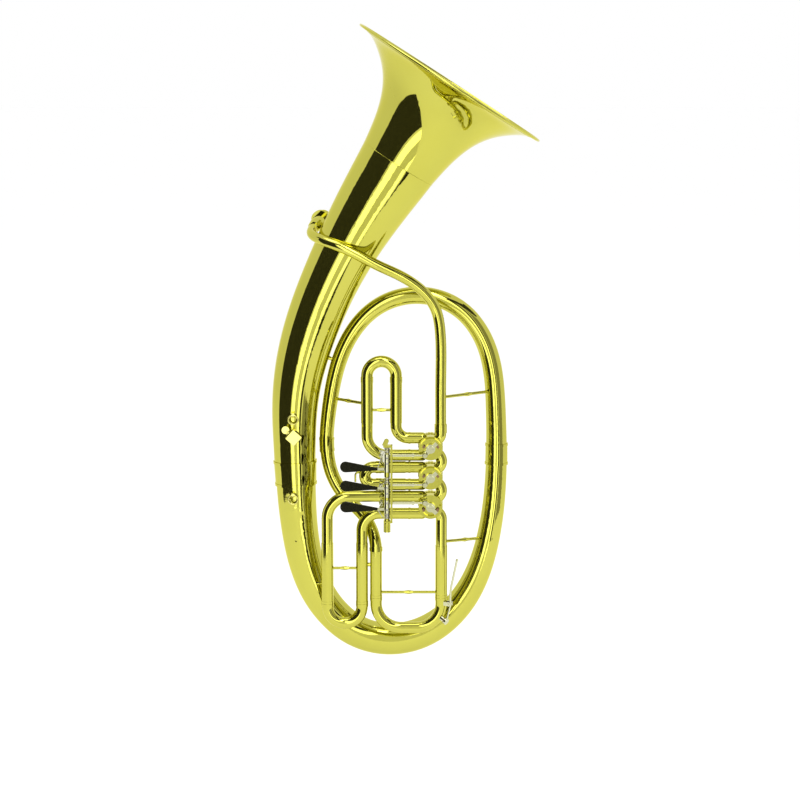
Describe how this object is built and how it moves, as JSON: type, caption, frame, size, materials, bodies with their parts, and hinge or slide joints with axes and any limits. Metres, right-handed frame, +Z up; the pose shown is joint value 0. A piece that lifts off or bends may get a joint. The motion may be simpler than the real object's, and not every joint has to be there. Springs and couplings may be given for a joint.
{
  "type": "tenor horn",
  "caption": "Oval rotary-valve tenor horn of the tuba family, with an upward tilted bell, lever linkage, pull-out tuning slides and a wrap-round leadpipe.",
  "frame": {"origin": "lowest point of the bottom bow, in the plane of the main branch", "axes": "+Z up along the horn towards the bell, +X to the right seen from the lever side, +Y away from the lever side"},
  "size_m": [0.297, 0.235, 0.7099],
  "materials": {
    "lacquered_brass": "mirror-polished, clear lacquer",
    "nickel_silver": "polished nickel silver",
    "dark_polished_plate": "dark mirror-polished plate",
    "cork": "matte cork",
    "spring_steel": "drawn spring wire"
  },
  "bodies": {
    "horn": {"bearing_plates": "lacquered_brass", "bell_ferrule": "lacquered_brass", "bell_flare": "lacquered_brass", "bell_rim_bead": "lacquered_brass", "bell_stack": "lacquered_brass", "body_braces": "lacquered_brass", "bottom_bow": "lacquered_brass", "bow_ferrule": "lacquered_brass", "branch_knee": "lacquered_brass", "entry_elbow": "lacquered_brass", "exit_tube": "lacquered_brass", "first_slide_socket_left": "lacquered_brass", "first_slide_socket_right": "lacquered_brass", "leadpipe": "lacquered_brass", "lever_axle": "lacquered_brass", "lever_rack": "lacquered_brass", "lever_springs": "spring_steel", "lyre_socket": "nickel_silver", "main_slide_socket": "lacquered_brass", "mouthpiece_receiver": "lacquered_brass", "second_slide_sockets": "lacquered_brass", "slide_braces": "lacquered_brass", "small_ferrules": "lacquered_brass", "stop_corks": "cork", "strap_lugs": "nickel_silver", "third_slide_socket_left": "lacquered_brass", "third_slide_socket_right": "lacquered_brass", "upper_bow": "lacquered_brass", "valve_cap_1": "lacquered_brass", "valve_cap_2": "lacquered_brass", "valve_cap_3": "lacquered_brass", "valve_casing_1": "lacquered_brass", "valve_casing_2": "lacquered_brass", "valve_casing_3": "lacquered_brass", "valve_knuckles": "lacquered_brass"},
    "main_slide": {"main_slide_bow": "lacquered_brass", "water_key_saddle": "nickel_silver"},
    "water_key": {"water_key_lever": "nickel_silver", "water_key_cork": "cork"},
    "first_slide": {"first_slide_bow": "lacquered_brass"},
    "second_slide": {"second_slide_bow": "lacquered_brass"},
    "third_slide": {"third_slide_bow": "lacquered_brass"},
    "lyre_screw": {"lyre_screw": "nickel_silver"},
    "strap_ring_upper": {"strap_ring_upper": "nickel_silver"},
    "strap_ring_lower": {"strap_ring_lower": "nickel_silver"},
    "rotor_1": {"rotor_1": "nickel_silver", "stop_arm_1": "nickel_silver"},
    "link_rod_1": {"link_rod_1": "nickel_silver"},
    "lever_1": {"lever_1": "nickel_silver", "lever_paddle_1": "dark_polished_plate"},
    "rotor_2": {"rotor_2": "nickel_silver", "stop_arm_2": "nickel_silver"},
    "link_rod_2": {"link_rod_2": "nickel_silver"},
    "lever_2": {"lever_2": "nickel_silver", "lever_paddle_2": "dark_polished_plate"},
    "rotor_3": {"rotor_3": "nickel_silver", "stop_arm_3": "nickel_silver"},
    "link_rod_3": {"link_rod_3": "nickel_silver"},
    "lever_3": {"lever_3": "nickel_silver", "lever_paddle_3": "dark_polished_plate"}
  },
  "joints": [
    {"name": "lever_1_turn", "type": "hinge", "parent": "horn", "child": "lever_1", "pos_m": [-0.0028, -0.08, 0.24004], "axis": [0, 0, -1], "range_deg": [0, 27.26], "stiffness_Nm_per_rad": 0.08, "springref_deg": -28.65},
    {"name": "rotor_1_turn", "type": "hinge", "parent": "horn", "child": "rotor_1", "pos_m": [0.0453, -0.033, 0.2464], "axis": [0, -1, 0], "range_deg": [0, 90]},
    {"name": "link_rod_1_turn", "type": "hinge", "parent": "rotor_1", "child": "link_rod_1", "pos_m": [0.03894, -0.05338, 0.24004], "axis": [0, -1, 0], "range_deg": [-90, 0]},
    {"name": "lever_2_turn", "type": "hinge", "parent": "horn", "child": "lever_2", "pos_m": [-0.0028, -0.08, 0.20704], "axis": [0, 0, -1], "range_deg": [0, 27.26], "stiffness_Nm_per_rad": 0.08, "springref_deg": -28.65},
    {"name": "rotor_2_turn", "type": "hinge", "parent": "horn", "child": "rotor_2", "pos_m": [0.0453, -0.033, 0.2134], "axis": [0, -1, 0], "range_deg": [0, 90]},
    {"name": "link_rod_2_turn", "type": "hinge", "parent": "rotor_2", "child": "link_rod_2", "pos_m": [0.03894, -0.05338, 0.20704], "axis": [0, -1, 0], "range_deg": [-90, 0]},
    {"name": "lever_3_turn", "type": "hinge", "parent": "horn", "child": "lever_3", "pos_m": [-0.0028, -0.08, 0.18676], "axis": [0, 0, -1], "range_deg": [0, 27.26], "stiffness_Nm_per_rad": 0.08, "springref_deg": -28.65},
    {"name": "rotor_3_turn", "type": "hinge", "parent": "horn", "child": "rotor_3", "pos_m": [0.0453, -0.033, 0.1804], "axis": [0, 1, 0], "range_deg": [0, 90]},
    {"name": "link_rod_3_turn", "type": "hinge", "parent": "rotor_3", "child": "link_rod_3", "pos_m": [0.03894, -0.05338, 0.18676], "axis": [0, 1, 0], "range_deg": [-90, 0]},
    {"name": "main_slide_pull", "type": "slide", "parent": "horn", "child": "main_slide", "axis": [0, 0, -1], "range_m": [0, 0.038]},
    {"name": "first_slide_pull", "type": "slide", "parent": "horn", "child": "first_slide", "axis": [0, 0, 1], "range_m": [0, 0.034]},
    {"name": "second_slide_pull", "type": "slide", "parent": "horn", "child": "second_slide", "axis": [-1, 0, 0], "range_m": [0, 0.018]},
    {"name": "third_slide_pull", "type": "slide", "parent": "horn", "child": "third_slide", "axis": [0, 0, -1], "range_m": [0, 0.054]},
    {"name": "water_key_turn", "type": "hinge", "parent": "main_slide", "child": "water_key", "pos_m": [0.0667, -0.03939, 0.0688], "axis": [-0.5708, -0.8211, 0], "range_deg": [0, 12], "stiffness_Nm_per_rad": 0.03, "springref_deg": -22.92},
    {"name": "lyre_screw_turn", "type": "hinge", "parent": "horn", "child": "lyre_screw", "pos_m": [-0.1065, -0.0315, 0.2565], "axis": [-0.7431, 0, 0.6691], "continuous": true},
    {"name": "strap_ring_upper_swing", "type": "hinge", "parent": "horn", "child": "strap_ring_upper", "pos_m": [-0.1072, -0.0296, 0.281], "axis": [1, 0, 0], "range_deg": [-110, 4]},
    {"name": "strap_ring_lower_swing", "type": "hinge", "parent": "horn", "child": "strap_ring_lower", "pos_m": [-0.108, -0.0256, 0.19], "axis": [1, 0, 0], "range_deg": [-110, 4]}
  ],
  "couplings": [
    {"joint": "rotor_1_turn", "follows": "lever_1_turn", "ratio": 3.3008},
    {"joint": "link_rod_1_turn", "follows": "lever_1_turn", "ratio": -3.3008},
    {"joint": "rotor_2_turn", "follows": "lever_2_turn", "ratio": 3.3008},
    {"joint": "link_rod_2_turn", "follows": "lever_2_turn", "ratio": -3.3008},
    {"joint": "rotor_3_turn", "follows": "lever_3_turn", "ratio": 3.3008},
    {"joint": "link_rod_3_turn", "follows": "lever_3_turn", "ratio": -3.3008}
  ]
}
